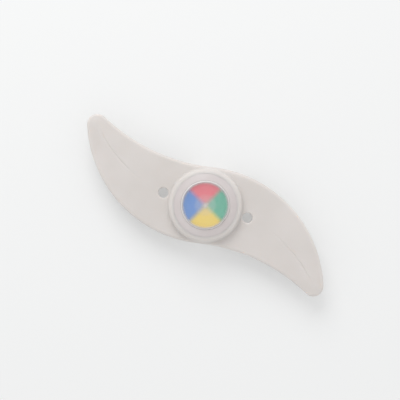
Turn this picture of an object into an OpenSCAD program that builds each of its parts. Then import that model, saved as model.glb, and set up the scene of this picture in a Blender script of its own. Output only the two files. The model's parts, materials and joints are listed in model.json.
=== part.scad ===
// Spoke wheel light: a soft S-shaped light guide, woven between the spokes of a wheel and tied on,
// with a round light unit clicked into its hub. It lies on its back: +Z points to the button, +X runs
// through the two tie holes, and the origin is on the hub's axis at the back face. Millimetres.

/* [Wings] */
// Radius of the long convex edge of each wing
wing_outer_r = 53.6; // [50:0.1:62]
// Radius of the hollow edge of each wing
wing_hollow_r = 79; // [66:1:90]
// Half the width of the body across the hub
wing_half_w = 16.6; // [15.8:0.1:18]
// Lean of the convex edge's centre from square to the tie holes, in degrees
wing_lean = 12.3; // [10:0.1:15]
// Where the convex edge turns into the hollow edge, in degrees past square
wing_turn = 10.5; // [9:0.1:12]
// Radius of the rounded tip in plan
tip_r = 4.4; // [3.5:0.1:6]
// Thickness of the plate at the hub
wing_root_t = 3.4; // [2.6:0.1:4.2]
// Thickness of the plate at the tips
wing_tip_t = 2.4; // [1.8:0.1:3]
// Width of the rounding along the plate's edges
wing_edge_w = 1.3; // [0.8:0.1:2]
// Height of the flat land in the middle of the plate's edges
wing_land = 0.6; // [0.3:0.1:1]
// Rise of the crease along the middle of each wing
crease_h = 0.4; // [0.1:0.05:0.8]
// Rise of the sloping collar where the plate meets the hub
collar_rise = 0.6; // [0.3:0.1:1]

/* [Tie holes] */
// Diameter of each hole for a cable tie
tie_hole_d = 4.3; // [3:0.1:5]
// Wall left between the hub and each tie hole
tie_hole_gap = 0.95; // [0.8:0.05:3]

/* [Hub] */
// Wall of the soft socket around the light unit
socket_wall = 2.8; // [2.4:0.1:3.5]
// Radial play of the light unit in the soft socket
socket_fit = 0.1; // [0.05:0.05:0.3]
// Radius of the snap beads that hold the light unit
bead_r = 0.25; // [0.15:0.05:0.35]
// Skin left outside the tip of each lamp
lamp_skin = 0.4; // [0.3:0.1:1]
// Width of the seat in the socket's mouth that the front cap rests on
cap_seat_w = 0.6; // [0.4:0.1:1]
// Radius of the shallow dome that the front cap and the socket's soft rim share
crown_r = 50; // [44:1:80]
// Radius of the rounding outside the socket's soft rim
rim_round = 1.7; // [0.8:0.1:2]

/* [Rear case] */
// Thickness of the case's back flange
flange_t = 3.4; // [3:0.1:4.5]
// Wall of the case around the cells
case_wall = 2.6; // [2.2:0.1:3.5]
// Width of the ledge that the front cell stops against
ledge_w = 2; // [1:0.1:2.5]
// Thickness of that ledge
ledge_t = 0.7; // [0.5:0.1:1.2]

/* [Battery cover] */
// Thickness of the turning cover
cover_t = 1.6; // [1.2:0.1:2.2]
// How far the cover sits inside the back face
cover_recess = 0.2; // [0.1:0.1:0.6]
// Radial play of the cover in its opening
cover_clear = 0.2; // [0.1:0.05:0.4]
// Width of the shoulder that the seal lies on
cover_seat_w = 1.5; // [1.2:0.1:2]
// Radial reach of each bayonet lug
lug_w = 0.9; // [0.6:0.1:1.2]
// Thickness of each bayonet lug
lug_t = 0.8; // [0.6:0.1:1]
// Angle that each lug spans, in degrees
lug_angle = 26; // [18:1:34]
// Turn from locked to free, in degrees
cover_turn = 60; // [45:5:75]
// Play around the lugs
lug_clear = 0.1; // [0.05:0.05:0.2]
// Width of the coin slot
coin_slot_w = 2; // [1.6:0.1:3]
// Length of the coin slot
coin_slot_l = 15; // [10:0.5:18]
// Depth of the coin slot
coin_slot_h = 0.9; // [0.5:0.1:1.1]
// Thickness of the ring seal
seal_d = 0.9; // [0.7:0.1:1.1]

/* [Cells and contacts] */
// Diameter of each coin cell
cell_d = 20; // [16:0.5:22]
// Height of each coin cell
cell_h = 3.2; // [2:0.1:4]
// Radial play of the cells in the case
cell_clear = 0.2; // [0.1:0.05:0.4]
// Thickness of the sheet that the contacts are bent from
sheet_t = 0.3; // [0.2:0.05:0.4]
// Width of the contact strips
strip_w = 4; // [3:0.1:5]

/* [Circuit board] */
// Thickness of the board
board_t = 1; // [0.8:0.1:1.6]
// How far the board screws' circle lies inside the bore of the case
screw_inset = 1.2; // [1:0.1:1.6]
// Diameter of the screws' shanks
screw_d = 1.2; // [1:0.1:1.4]
// Diameter of the screws' heads
screw_head_d = 2.5; // [2:0.1:2.8]
// Height of the screws' heads
screw_head_h = 0.8; // [0.6:0.1:0.9]
// Length of the screws' shanks under the head
screw_l = 3; // [2.4:0.1:3.2]

/* [Lamps] */
// Diameter of each lamp's lens
lamp_d = 3; // [2:0.1:3.4]
// Diameter of the rim at the foot of the lens
lamp_rim_d = 3.8; // [3.5:0.1:4]
// Length of a lamp from its foot to its tip
lamp_l = 4.4; // [3.6:0.1:5]
// Angle between each lamp and the line through the tie holes, in degrees
lamp_angle = 28; // [26:1:32]
// Side of the square lead wires
lead_t = 0.45; // [0.3:0.05:0.5]
// Spacing of a lamp's two lead wires
lead_pitch = 2.54; // [2:0.02:2.54]

/* [Switch] */
// Side of the square switch
switch_side = 6; // [5:0.1:6.4]
// Height of the switch without its plunger
switch_h = 2.4; // [2.2:0.1:3]
// Diameter of the plunger
plunger_d = 3.4; // [2.6:0.1:3.6]
// How far the plunger stands out of the switch
plunger_out = 0.7; // [0.6:0.1:1.2]
// Travel of the button and plunger
press = 0.4; // [0.2:0.05:0.5]

/* [Button and front cap] */
// Diameter of the four-colour disc
disc_d = 19.4; // [15:0.2:20]
// Thickness of the disc
disc_t = 0.28; // [0.15:0.01:0.4]
// Wall of the button around the disc
button_wall = 0.6; // [0.4:0.1:1]
// Thickness of the button's face at its rim
button_t = 1.2; // [0.9:0.1:1.6]
// Rise of the button's domed face
button_dome = 0.4; // [0.2:0.05:0.8]
// Play between the button and the cap around it
button_clear = 0.2; // [0.15:0.05:0.4]
// How far the button's rim stands above the cap
button_proud = 0.6; // [0.3:0.1:0.9]
// Thickness of the collar that keeps the button in
collar_t = 1.1; // [0.8:0.1:1.4]
// Width of the cap's lip over the collar
lip_w = 0.85; // [0.6:0.05:1.4]
// Thickness of the cap's lip
lip_t = 1.4; // [1:0.1:1.6]
// Height of the cap's visible ring
cap_h = 3; // [2.6:0.1:3.4]
// Broken edge between the cap's ring and the soft rim
cap_break = 0.25; // [0.15:0.05:0.5]
// Wall of the cap's skirt
skirt_wall = 0.9; // [0.7:0.1:1.2]

/* [Hidden] */
$fn = 96;

// Small gaps: between pieces that touch, between pieces that slide, and for cuts that run past a face
touch = 0.02;
slip = 0.1;
past = 1;

// Colours that several pieces share
tin = [0.78, 0.78, 0.8];
hard_white = [0.9, 0.9, 0.88];
spring_metal = [0.8, 0.78, 0.72];

// Heights above the back face
z_cover = cover_recess + cover_t;
z_seat = z_cover + seal_d;
z_cell = z_cover + 2 * slip + sheet_t;
z_cells_top = z_cell + 2 * cell_h;
z_ledge = z_cells_top + slip;
z_ledge_top = z_ledge + ledge_t;
lead_gap = 0.17;
z_lamp = z_ledge_top + lead_gap + lead_t / 2;
z_board = z_lamp + lamp_rim_d / 2 + 2 * slip;
z_parts = z_board + board_t;
z_switch = z_parts + switch_h;
z_plunger = z_switch + plunger_out;
z_disc = z_plunger + touch;
z_face = z_disc + disc_t;
z_rim = z_face + button_t;
z_cap = z_rim - button_proud;
z_lip = z_cap - lip_t;
z_collar = z_lip - slip - collar_t;
z_shoulder = z_cap - cap_h;
z_wing = z_lamp;

// Radii, from the middle outwards
cell_r = cell_d / 2;
bay_r = cell_r + cell_clear;
disc_r = disc_d / 2;
button_r = disc_r + slip + button_wall;
lip_r = button_r + button_clear;
skirt_least_r = lip_r + lip_w + button_clear + skirt_wall;
unit_r = max(bay_r + case_wall, skirt_least_r);
socket_r = unit_r + socket_fit;
cavity_r = unit_r - skirt_wall;
collar_r = cavity_r - button_clear;
board_r = cavity_r - slip;
lamp_foot_r = bay_r + button_clear;
lamp_tip_r = lamp_foot_r + lamp_l;
lamp_clear = 0.2;
cap_r = socket_r + cap_seat_w;
mouth_r = cap_r + socket_fit;
hub_r = max(socket_r + socket_wall, lamp_tip_r + lamp_clear + lamp_skin);
z_crown = z_cap - sqrt(crown_r * crown_r - button_r * button_r);
function crown_z(r) = z_crown + sqrt(crown_r * crown_r - r * r);
rim_r = hub_r - rim_round;
z_mouth = crown_z(rim_r);
cover_r = bay_r + cover_seat_w - cover_clear;
cover_hole_r = cover_r + cover_clear;
lug_r = cover_r + lug_w;
lug_groove_r = lug_r + cover_clear;
screw_r = bay_r - screw_inset;
boss_wall = 0.9;
boss_r = screw_d / 2 + boss_wall;
tie_r = tie_hole_d / 2;
tie_x = hub_r + tie_hole_gap + tie_r;

// Directions around the hub, in degrees
clip_angle = 90;
screw_angles = [0, 120, 240];
lamp_angles = [lamp_angle, -lamp_angle, 180 - lamp_angle, 180 + lamp_angle];
lug_angles = [30, 150, 270];

// Plan of the wings: the convex edge's centre, the hollow edge's centre and the tip's centre
function polar(r, a) = r * [cos(a), sin(a)];
function mix(a, b, f) = a + (b - a) * f;
function heading(v) = atan2(v.y, v.x);
edge_turn = 90 + wing_turn;
outer_c = polar(wing_outer_r - wing_half_w, wing_lean - 90);
hollow_c = -outer_c - polar(wing_outer_r + wing_hollow_r, edge_turn);
span = hollow_c - outer_c;
to_outer = wing_outer_r - tip_r;
to_hollow = wing_hollow_r + tip_r;
along = (to_outer * to_outer - to_hollow * to_hollow + span * span) / (2 * norm(span));
aside = sqrt(to_outer * to_outer - along * along);
tip_c = outer_c + (along * span + aside * [-span.y, span.x]) / norm(span);
outer_end = heading(tip_c - outer_c);
hollow_end = heading(tip_c - hollow_c);
tip_end = mix(outer_end, hollow_end - 180, 0.5);
wing_steps = 16;
tip_steps = 7;
tip_stop = 0.97;
edge_points = [0, 0.12, 0.45, 1];
widest_edge = 0.4;

// Both edge points of the right wing: f runs from the hub to the tip, g round the tip
function wing_edges(f) = [
    outer_c + polar(wing_outer_r, mix(edge_turn, outer_end, f)),
    hollow_c + polar(wing_hollow_r, mix(edge_turn, hollow_end, f))
];
function tip_edges(g) = [
    tip_c + polar(tip_r, mix(outer_end, tip_end, g)),
    tip_c + polar(tip_r, mix(hollow_end - 180, tip_end, g))
];

// Half height of the plate at m from its edge: rounded edge, flat t, then a rise to the crease
function half_height(m, t, rise) =
    let (round_off = sqrt(1 - pow(1 - min(m / wing_edge_w, 1), 2)))
    mix(wing_land, t, round_off) / 2 + rise;

// One ring of points across the plate from edge point a to edge point b, of thickness t, with a crease.
// Round the tip, the distance to the edge is counted from the tip's centre
function ring(a, b, t, crease, tip = undef) =
    let (
        w = norm(b - a),
        e = min(wing_edge_w, widest_edge * w),
        near = e * edge_points,
        across = concat(near, [w / 2], [for (i = [len(near) - 1:-1:0]) w - near[i]]),
        upper = [
            for (d = across)
                let (
                    p = mix(a, b, d / w),
                    inward = min(d, w - d),
                    m = is_undef(tip) ? inward : max(tip_r - norm(p - tip), 0),
                    rise = crease * max(inward - e, 0) / (w / 2 - e)
                )
                [p.x, p.y, half_height(m, t, rise)]
        ]
    )
    concat(upper, [for (i = [len(upper) - 1:-1:0]) [upper[i].x, upper[i].y, -upper[i].z]]);

// Rings of the right wing, from the hub's middle to its tip; the left wing is the same, turned half round
right_wing = concat(
    [
        for (i = [0:wing_steps])
            let (f = i / wing_steps, edges = wing_edges(f))
            ring(edges[0], edges[1], mix(wing_root_t, wing_tip_t, f), crease_h * f)
    ],
    [
        for (i = [1:tip_steps])
            let (g = tip_stop * i / tip_steps, edges = tip_edges(g))
            ring(edges[0], edges[1], wing_tip_t, crease_h * (1 - g), tip_c)
    ]
);
half_ring = len(right_wing[0]) / 2;
function turned(points) = [
    for (i = [0:2 * half_ring - 1])
        let (p = points[i < half_ring ? half_ring - 1 - i : 3 * half_ring - 1 - i])
        [-p.x, -p.y, p.z]
];
rings = concat([for (i = [len(right_wing) - 1:-1:1]) turned(right_wing[i])], right_wing);

// S-shaped plate, lofted through its rings from tip to tip
module wing_plate() {
    n = len(rings[0]);
    last = len(rings) - 1;
    sides = [
        for (k = [0:last - 1], i = [0:n - 1])
            let (a = k * n + i, b = k * n + (i + 1) % n)
            each [[a, b + n, b], [a, a + n, b + n]]
    ];
    ends = [[for (i = [0:n - 1]) i], [for (i = [n - 1:-1:0]) last * n + i]];
    polyhedron([for (r = rings) each r], concat(sides, ends), convexity = 6);
}

module tube(r, z0, z1) {
    translate([0, 0, z0]) cylinder(r = r, h = z1 - z0);
}

module at(r, a, z = 0) {
    rotate(a) translate([r, 0, z]) children();
}

module snap_bead(r, z, extra = 0) {
    rotate_extrude() translate([r, z]) circle(r = bead_r + extra);
}

// Section from radius r0 to r1 and from z0 to z1, with its upper outer corner rounded
module shouldered(r0, r1, z0, z1, round_r) {
    translate([r0, z0]) square([r1 - round_r - r0, z1 - z0]);
    translate([r0, z0]) square([r1 - r0, z1 - round_r - z0]);
    translate([r1 - round_r, z1 - round_r])
        intersection() {
            circle(r = round_r);
            square(round_r);
        }
}

// Half section under the shallow dome, from radius r0 to r1 and up from z0
module crowned(r0, r1, z0) {
    intersection() {
        translate([r0, z0]) square([r1 - r0, z_cap - z0]);
        translate([0, z_crown]) circle(r = crown_r, $fn = 720);
    }
}

// Cutter that breaks the edge of a section at radius r and height z
module edge_break(r, z, leg) {
    translate([r, z]) rotate(45) square(leg * sqrt(2), center = true);
}

// Soft milky moulding: plate and hub socket in one, with a pocket for each lamp. The socket's mouth is
// wider, so that the front cap sits in it and the soft rim shows as a ring round the cap
bead_margin = 0.5;
bead_z = [flange_t + 2 * bead_r + bead_margin, z_shoulder - 2 * bead_r - bead_margin];
module wing_body() {
    color([0.87, 0.85, 0.83])
        difference() {
            union() {
                translate([0, 0, z_wing]) wing_plate();
                rotate_extrude() socket_section();
                for (face = [0, 1]) translate([0, 0, z_wing]) mirror([0, 0, face]) root_collar();
            }
            tube(socket_r, 0, z_cap);
            tube(mouth_r, z_shoulder, z_cap);
            for (z = bead_z) snap_bead(unit_r, z, slip);
            for (a = lamp_angles) lamp_pocket(a);
            for (side = [-1, 1])
                translate([side * tie_x, 0, z_wing - hub_r]) cylinder(r = tie_r, h = 2 * hub_r);
        }
}

// Socket before it is bored: the dome runs over its rim into the rounding outside
module socket_section() {
    bore_r = socket_r - past;
    crowned(bore_r, rim_r + touch, flange_t);
    intersection() {
        shouldered(bore_r, hub_r, flange_t, z_mouth, rim_round);
        translate([0, z_crown]) circle(r = crown_r, $fn = 720);
    }
}

// Sloping collar between the hub and one face of the plate, sunk a little into both
module root_collar() {
    flat = wing_root_t / 2;
    sunk = 0.4;
    rotate_extrude()
        polygon([
            [hub_r - sunk, flat - sunk],
            [hub_r + collar_rise + sunk, flat - sunk],
            [hub_r - sunk, flat + collar_rise + sunk]
        ]);
}

// Blind pocket in the socket's wall: the soft wall stretches over the lamp as the light unit goes in
module lamp_pocket(a) {
    at(0, a, z_lamp) rotate([0, 90, 0]) cylinder(r = lamp_d / 2 + lamp_clear, h = lamp_tip_r + lamp_clear);
}

// Frosted front cap: domed ring with a lip over the button's collar and a skirt in the socket
module front_cap() {
    skirt_z = z_board + slip;
    lip_break = 0.5;
    color([0.9, 0.89, 0.9])
        rotate_extrude()
            difference() {
                union() {
                    crowned(lip_r, cap_r, z_shoulder);
                    translate([cavity_r, skirt_z]) square([skirt_wall, z_lip - skirt_z]);
                    translate([unit_r, bead_z[1]]) circle(r = bead_r);
                }
                translate([0, skirt_z - past]) square([cavity_r, z_lip - skirt_z + past]);
                edge_break(lip_r, z_cap, lip_break);
                edge_break(cap_r, crown_z(cap_r), cap_break);
            }
}

// Frosted push button: domed face, skirt and collar, with the disc in its recess
module push_button() {
    dome_r = (button_r * button_r + button_dome * button_dome) / (2 * button_dome);
    rim_break = 0.5;
    color([0.93, 0.92, 0.92, 0.6])
        rotate_extrude()
            difference() {
                union() {
                    intersection() {
                        translate([0, z_face]) square([button_r, button_t + button_dome]);
                        translate([0, z_rim + button_dome - dome_r]) circle(r = dome_r, $fn = 720);
                    }
                    translate([disc_r + slip, z_collar]) square([button_wall, z_face - z_collar]);
                    translate([disc_r + slip, z_collar]) square([collar_r - disc_r - slip, collar_t]);
                }
                edge_break(button_r, z_rim, rim_break);
            }
}

// Printed four-colour disc under the button's face
module colour_disc() {
    inks = [[0.86, 0.2, 0.25], [0.2, 0.35, 0.75], [0.95, 0.8, 0.25], [0.1, 0.6, 0.42]];
    first_edge = 62;
    for (i = [0:3])
        color(inks[i])
            translate([0, 0, z_disc]) rotate(first_edge + 90 * i)
                rotate_extrude(angle = 90) square([disc_r, disc_t - touch / 2]);
}

// Rear case: back flange, cell bay, ledge, bayonet groove and posts for the board
module rear_case() {
    lug_z0 = z_cover - lug_t - lug_clear;
    lug_z1 = z_cover + lug_clear;
    z_boss = z_ledge + ledge_t / 2;
    way_in = 4;
    back_break = 0.5;
    color(hard_white)
        difference() {
            union() {
                rotate_extrude() {
                    polygon([
                        [cover_hole_r, 0], [hub_r - back_break, 0], [hub_r, back_break],
                        [hub_r, flange_t], [unit_r, flange_t], [unit_r, z_board], [bay_r, z_board],
                        [bay_r, z_ledge_top], [bay_r - ledge_w, z_ledge_top],
                        [bay_r - ledge_w, z_ledge], [bay_r, z_ledge],
                        [bay_r, z_seat], [cover_hole_r, z_seat], [cover_hole_r, lug_z1],
                        [lug_groove_r, lug_z1], [lug_groove_r, lug_z0], [cover_hole_r, lug_z0]
                    ]);
                    translate([unit_r, bead_z[0]]) circle(r = bead_r);
                }
                for (a = screw_angles) at(screw_r, a, z_boss) cylinder(r = boss_r, h = z_board - z_boss);
            }
            for (a = lug_angles)
                rotate(a - cover_turn) lug_sector(lug_r + cover_clear / 2, -past, lug_z0 + slip, way_in);
            for (a = lamp_angles) lamp_notch(a);
            for (a = screw_angles)
                at(screw_r, a, z_parts - screw_l - 2 * slip)
                    cylinder(r = screw_d / 2 + touch, h = screw_l + past);
            at(bay_r - past, clip_angle, z_cover)
                translate([0, -strip_w / 2 - slip, 0])
                    cube([past + sheet_t + 3 * slip, strip_w + 2 * slip, z_board + past - z_cover]);
        }
}

module lug_sector(r, z0, z1, wider = 0) {
    turn = lug_angle + wider;
    rotate(-turn / 2) rotate_extrude(angle = turn)
        translate([cover_r - lug_w, z0]) square([r - cover_r + lug_w, z1 - z0]);
}

module lamp_notch(a) {
    r = lamp_rim_d / 2 + slip;
    from = bay_r - 2 * slip;
    at(from, a, z_lamp) rotate([0, 90, 0]) cylinder(r = r, h = hub_r);
    at(from - past, a, z_lamp) translate([0, -r, 0]) cube([hub_r, 2 * r, z_board + past - z_lamp]);
}

// Turning battery cover with a coin slot outside and a boss that steadies the cells inside
module battery_cover() {
    boss_share = 0.6;
    color(hard_white)
        difference() {
            union() {
                tube(cover_r, cover_recess, z_cover);
                tube(boss_share * cell_r, cover_recess, z_cover + slip);
                for (a = lug_angles) rotate(a) lug_sector(lug_r, z_cover - lug_t, z_cover);
            }
            translate([-coin_slot_l / 2, -coin_slot_w / 2, cover_recess - past])
                cube([coin_slot_l, coin_slot_w, coin_slot_h + past]);
        }
}

// Ring seal between the cover and the case's shoulder
module cover_seal() {
    r = seal_d / 2 - touch;
    color([0.12, 0.12, 0.12])
        rotate_extrude() translate([cover_hole_r - seal_d / 2, z_cover + seal_d / 2]) circle(r = r);
}

// Coin cell: can below, crimped rim and raised cap above
module coin_cell(z) {
    crimp = cell_r * 0.06;
    cap_r = cell_r * 0.88;
    step = cell_h * 0.1;
    color([0.75, 0.75, 0.77])
        translate([0, 0, z])
            rotate_extrude()
                polygon([
                    [0, 0], [cell_r - step, 0], [cell_r, step], [cell_r, cell_h - 2 * step],
                    [cell_r - crimp, cell_h - step], [cap_r + crimp, cell_h - step],
                    [cap_r + crimp, cell_h - 2 * step], [cap_r, cell_h - 2 * step],
                    [cap_r, cell_h - step / 2], [cap_r - step / 2, cell_h], [0, cell_h]
                ]);
}

module rear_cell() { coin_cell(z_cell); }

module front_cell() { coin_cell(z_cell + cell_h); }

// Strip bent from sheet: hook under the rear cell, riser in the case wall, tab through the board
tab_w = 1.4;
module positive_clip() {
    riser = bay_r + slip / 2;
    hook = 0.65 * cell_r;
    color(spring_metal)
        rotate(clip_angle) {
            translate([hook, -strip_w / 2, z_cell - sheet_t])
                cube([riser + sheet_t - hook, strip_w, sheet_t]);
            translate([riser, -strip_w / 2, z_cell - sheet_t])
                cube([sheet_t, strip_w, z_board - z_cell + sheet_t]);
            translate([riser, -tab_w / 2, z_cell]) cube([sheet_t, tab_w, z_parts + 3 * sheet_t - z_cell]);
        }
}

// Outline of a sheet strip bent along a path, seen on its edge
function bend_normal(path, i) =
    let (
        a = path[max(i - 1, 0)],
        b = path[i],
        c = path[min(i + 1, len(path) - 1)],
        before = b == a ? (c - b) / norm(c - b) : (b - a) / norm(b - a),
        after = c == b ? before : (c - b) / norm(c - b)
    )
    [-before.y - after.y, before.x + after.x] / (1 + before * after);
function strip(path, t) = concat(
    [for (i = [0:len(path) - 1]) path[i] + bend_normal(path, i) * t / 2],
    [for (i = [len(path) - 1:-1:0]) path[i] - bend_normal(path, i) * t / 2]
);

// Leaf spring under the board that presses on the front cell's cap
spring_pad = 5;
spring_reach = 3.5;
spring_slope = 28;
spring_bend_r = 0.6;
spring_toe = [1, 0.6];
module negative_spring() {
    low = z_cells_top + touch + sheet_t / 2;
    high = z_board - touch - sheet_t / 2;
    bend = [spring_reach, high - spring_bend_r];
    arm_top = bend + polar(spring_bend_r, spring_slope - 90);
    arm_foot = arm_top - (arm_top.y - low) * [1 / tan(spring_slope), 1];
    path = concat(
        [[bend.x - spring_pad, high]],
        [for (i = [0:5]) bend + polar(spring_bend_r, mix(90, spring_slope - 90, i / 5))],
        [arm_foot, arm_foot - [spring_bend_r, 0], arm_foot - [spring_bend_r + spring_toe.x, -spring_toe.y]]
    );
    color(spring_metal)
        rotate([90, 0, 0]) linear_extrude(strip_w, center = true) polygon(strip(path, sheet_t));
}

// Round circuit board with holes for its screws, lead wires and the positive tab
module circuit_board() {
    lead_hole_r = 0.8 * lead_t;
    color([0.1, 0.42, 0.25])
        difference() {
            tube(board_r, z_board, z_parts);
            for (a = screw_angles)
                at(screw_r, a, z_board - past) cylinder(r = screw_d / 2 + slip, h = board_t + 2 * past);
            for (a = lamp_angles, side = [-1, 1])
                at(lead_x, a, z_board - past) translate([0, side * lead_pitch / 2, 0])
                    cylinder(r = lead_hole_r, h = board_t + 2 * past);
            at(bay_r, clip_angle, z_board - past)
                translate([-slip, -tab_w / 2 - slip, 0])
                    cube([sheet_t + 3 * slip, tab_w + 2 * slip, board_t + 2 * past]);
        }
}

// Pan-head screws that hold the board on the case's posts
module board_screws() {
    slot_l = 0.64 * screw_head_d;
    slot_w = 0.14 * screw_head_d;
    color([0.7, 0.7, 0.72])
        for (a = screw_angles) at(screw_r, a, z_parts) {
            difference() {
                cylinder(r = screw_head_d / 2, h = screw_head_h);
                for (turn = [0, 90])
                    rotate(turn) translate([-slot_l / 2, -slot_w / 2, screw_head_h / 2])
                        cube([slot_l, slot_w, screw_head_h]);
            }
            translate([0, 0, -screw_l]) cylinder(r = screw_d / 2, h = screw_l);
        }
}

// Round lamp lying outwards: rim at its foot, lens with a rounded tip
module lamp(a) {
    lens_r = lamp_d / 2;
    rim_t = 1;
    at(lamp_foot_r, a, z_lamp) rotate([0, 90, 0]) {
        cylinder(r = lamp_rim_d / 2, h = rim_t);
        cylinder(r = lens_r, h = lamp_l - lens_r);
        translate([0, 0, lamp_l - lens_r]) sphere(r = lens_r);
    }
}

module red_lamp() { color([0.85, 0.15, 0.15]) lamp(lamp_angles[0]); }

module green_lamp() { color([0.15, 0.65, 0.3]) lamp(lamp_angles[1]); }

module yellow_lamp() { color([0.95, 0.75, 0.15]) lamp(lamp_angles[2]); }

module blue_lamp() { color([0.2, 0.35, 0.85]) lamp(lamp_angles[3]); }

// Lead wires: out of each lamp's foot, then up through the board
lead_x = lamp_foot_r - 2 * lead_t;
module lamp_leads() {
    color(tin)
        for (a = lamp_angles, side = [-1, 1])
            at(lead_x, a, z_lamp) translate([0, side * lead_pitch / 2, 0]) {
                translate(-lead_t / 2 * [1, 1, 1]) cube([lamp_foot_r - lead_x + lead_t / 2, lead_t, lead_t]);
                translate(-lead_t / 2 * [1, 1, 1]) cube([lead_t, lead_t, z_parts - z_lamp + 2 * lead_t]);
            }
}

// Driver chip with eight bent legs
chip_x = -6.9;
module driver_chip() {
    body = [3.9, 4.9, 1.3];
    lift = 0.15;
    leg_w = 0.42;
    leg_t = 0.2;
    leg_pitch = 1.27;
    leg = [[-0.1, 0.7], [0.3, 0.7], [0.5, leg_t / 2], [1, leg_t / 2]];
    translate([chip_x, 0, z_parts]) {
        color([0.13, 0.13, 0.14]) translate([-body.x / 2, -body.y / 2, lift]) cube(body);
        color(tin)
            for (turn = [0, 180], i = [-1.5:1.5])
                rotate(turn) translate([body.x / 2, i * leg_pitch, 0])
                    rotate([90, 0, 0]) linear_extrude(leg_w, center = true) polygon(strip(leg, leg_t));
    }
}

// Chip part with a tinned end on each side
module end_chip(body, end, shade) {
    tin_t = 0.05;
    color(shade) translate([-body.x / 2, -body.y / 2, 0]) cube(body);
    color(tin)
        for (side = [-1, 1])
            translate([side * (body.x - end) / 2 - end / 2, -body.y / 2, 0])
                cube([end, body.y, body.z + tin_t]);
}

// Chip resistors in a row beside the switch
module chip_resistors() {
    row_x = 5.6;
    pitch = 2.7;
    for (i = [-1.5:1.5])
        translate([row_x, i * pitch, z_parts]) end_chip([2, 1.25, 0.5], 0.35, [0.15, 0.15, 0.16]);
}

// Ceramic capacitor across the supply
module chip_capacitor() {
    from_switch = 5;
    translate([0, -switch_side / 2 - from_switch, z_parts])
        end_chip([3.2, 1.6, 1.2], 0.5, [0.7, 0.55, 0.38]);
}

// Tactile switch: moulded base with a well for the dome and plunger
well_room = 0.8;
well_r = plunger_d / 2 + well_room;
floor_t = 0.6;
well_floor = z_parts + floor_t;
lid_t = 0.2;
module switch_base() {
    color([0.14, 0.14, 0.15])
        difference() {
            translate([-switch_side / 2, -switch_side / 2, z_parts])
                cube([switch_side, switch_side, switch_h - lid_t]);
            tube(well_r, well_floor, z_switch);
        }
}

// Four legs that solder the switch to the board
module switch_terminals() {
    leg_w = 0.7;
    leg_t = 0.2;
    out = 1.3;
    leg_x = 0.37 * switch_side;
    color(tin)
        for (side = [-1, 1], x = [-leg_x, leg_x])
            translate([x - leg_w / 2, side * (switch_side + out) / 2 - out / 2, z_parts])
                cube([leg_w, out, leg_t]);
}

// Steel lid that keeps the plunger in
module switch_cover() {
    color([0.75, 0.75, 0.77])
        difference() {
            translate([-switch_side / 2, -switch_side / 2, z_switch - lid_t])
                cube([switch_side, switch_side, lid_t]);
            tube(plunger_d / 2 + slip, z_switch - past, z_switch + past);
        }
}

// Steel dome that snaps through and lifts the plunger again
dome_pressed = 0.15;
dome_rise = press + dome_pressed;
dome_t = 0.08;
module snap_dome() {
    r = well_r - slip;
    ball = (r * r + dome_rise * dome_rise) / (2 * dome_rise);
    color([0.8, 0.8, 0.82])
        translate([0, 0, well_floor])
            rotate_extrude() intersection() {
                square([r, dome_rise]);
                difference() {
                    translate([0, dome_rise - ball]) circle(r = ball, $fn = 360);
                    translate([0, dome_rise - ball]) circle(r = ball - dome_t, $fn = 360);
                }
            }
}

// Plunger: foot in the well under the lid, stem through it
module switch_plunger() {
    foot_z = well_floor + dome_rise + touch;
    color([0.2, 0.2, 0.21]) {
        tube(well_r - slip, foot_z, z_switch - lid_t - touch);
        tube(plunger_d / 2, foot_z, z_plunger);
    }
}

wing_body();
front_cap();
push_button();
colour_disc();
rear_case();
battery_cover();
cover_seal();
rear_cell();
front_cell();
positive_clip();
negative_spring();
circuit_board();
board_screws();
red_lamp();
green_lamp();
yellow_lamp();
blue_lamp();
lamp_leads();
driver_chip();
chip_resistors();
chip_capacitor();
switch_base();
switch_terminals();
switch_cover();
snap_dome();
switch_plunger();
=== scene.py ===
import json
import math

import bmesh
import bpy
import numpy as np
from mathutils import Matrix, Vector
from mathutils.geometry import delaunay_2d_cdt


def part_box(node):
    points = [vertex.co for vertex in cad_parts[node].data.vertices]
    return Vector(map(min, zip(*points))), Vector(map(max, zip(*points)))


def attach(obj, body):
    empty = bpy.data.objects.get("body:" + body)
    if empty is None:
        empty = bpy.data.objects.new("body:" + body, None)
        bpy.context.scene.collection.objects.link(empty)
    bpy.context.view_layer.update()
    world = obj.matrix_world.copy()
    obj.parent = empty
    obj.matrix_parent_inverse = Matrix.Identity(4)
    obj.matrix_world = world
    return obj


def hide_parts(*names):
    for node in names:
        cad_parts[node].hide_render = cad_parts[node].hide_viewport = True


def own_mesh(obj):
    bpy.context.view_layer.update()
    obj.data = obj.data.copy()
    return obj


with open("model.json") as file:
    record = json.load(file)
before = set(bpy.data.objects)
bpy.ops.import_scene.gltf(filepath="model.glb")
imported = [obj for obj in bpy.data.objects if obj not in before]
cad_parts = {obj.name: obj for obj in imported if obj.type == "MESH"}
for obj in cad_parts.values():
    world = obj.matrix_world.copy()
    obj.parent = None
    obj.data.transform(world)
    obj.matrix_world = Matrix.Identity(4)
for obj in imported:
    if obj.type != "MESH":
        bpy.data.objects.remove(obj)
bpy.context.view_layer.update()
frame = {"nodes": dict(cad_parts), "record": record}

mm = 0.001
roundSteps = 144  # sides of a full turn
mergeGap = 1e-5  # points closer than this become one
tiny = 1e-6  # less than this counts as nothing
scene = bpy.context.scene
scene.view_settings.view_transform = "Standard"


def cadReach(node):  # lowest and highest corner of a CAD node, in millimetres
    low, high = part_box(node)
    return np.array(low) / mm, np.array(high) / mm


def mountAt(name):  # position of a mount of the record, in millimetres
    return next(np.array(m["pos_m"]) / mm for m in frame["record"]["mounts"] if m["name"] == name)


def linear(hexCode):  # sRGB hex to linear RGBA
    parts = [int(hexCode[i:i + 2], 16) / 255 for i in (1, 3, 5)]
    return [c / 12.92 if c <= 0.04045 else ((c + 0.055) / 1.055) ** 2.4 for c in parts] + [1.0]


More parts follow.
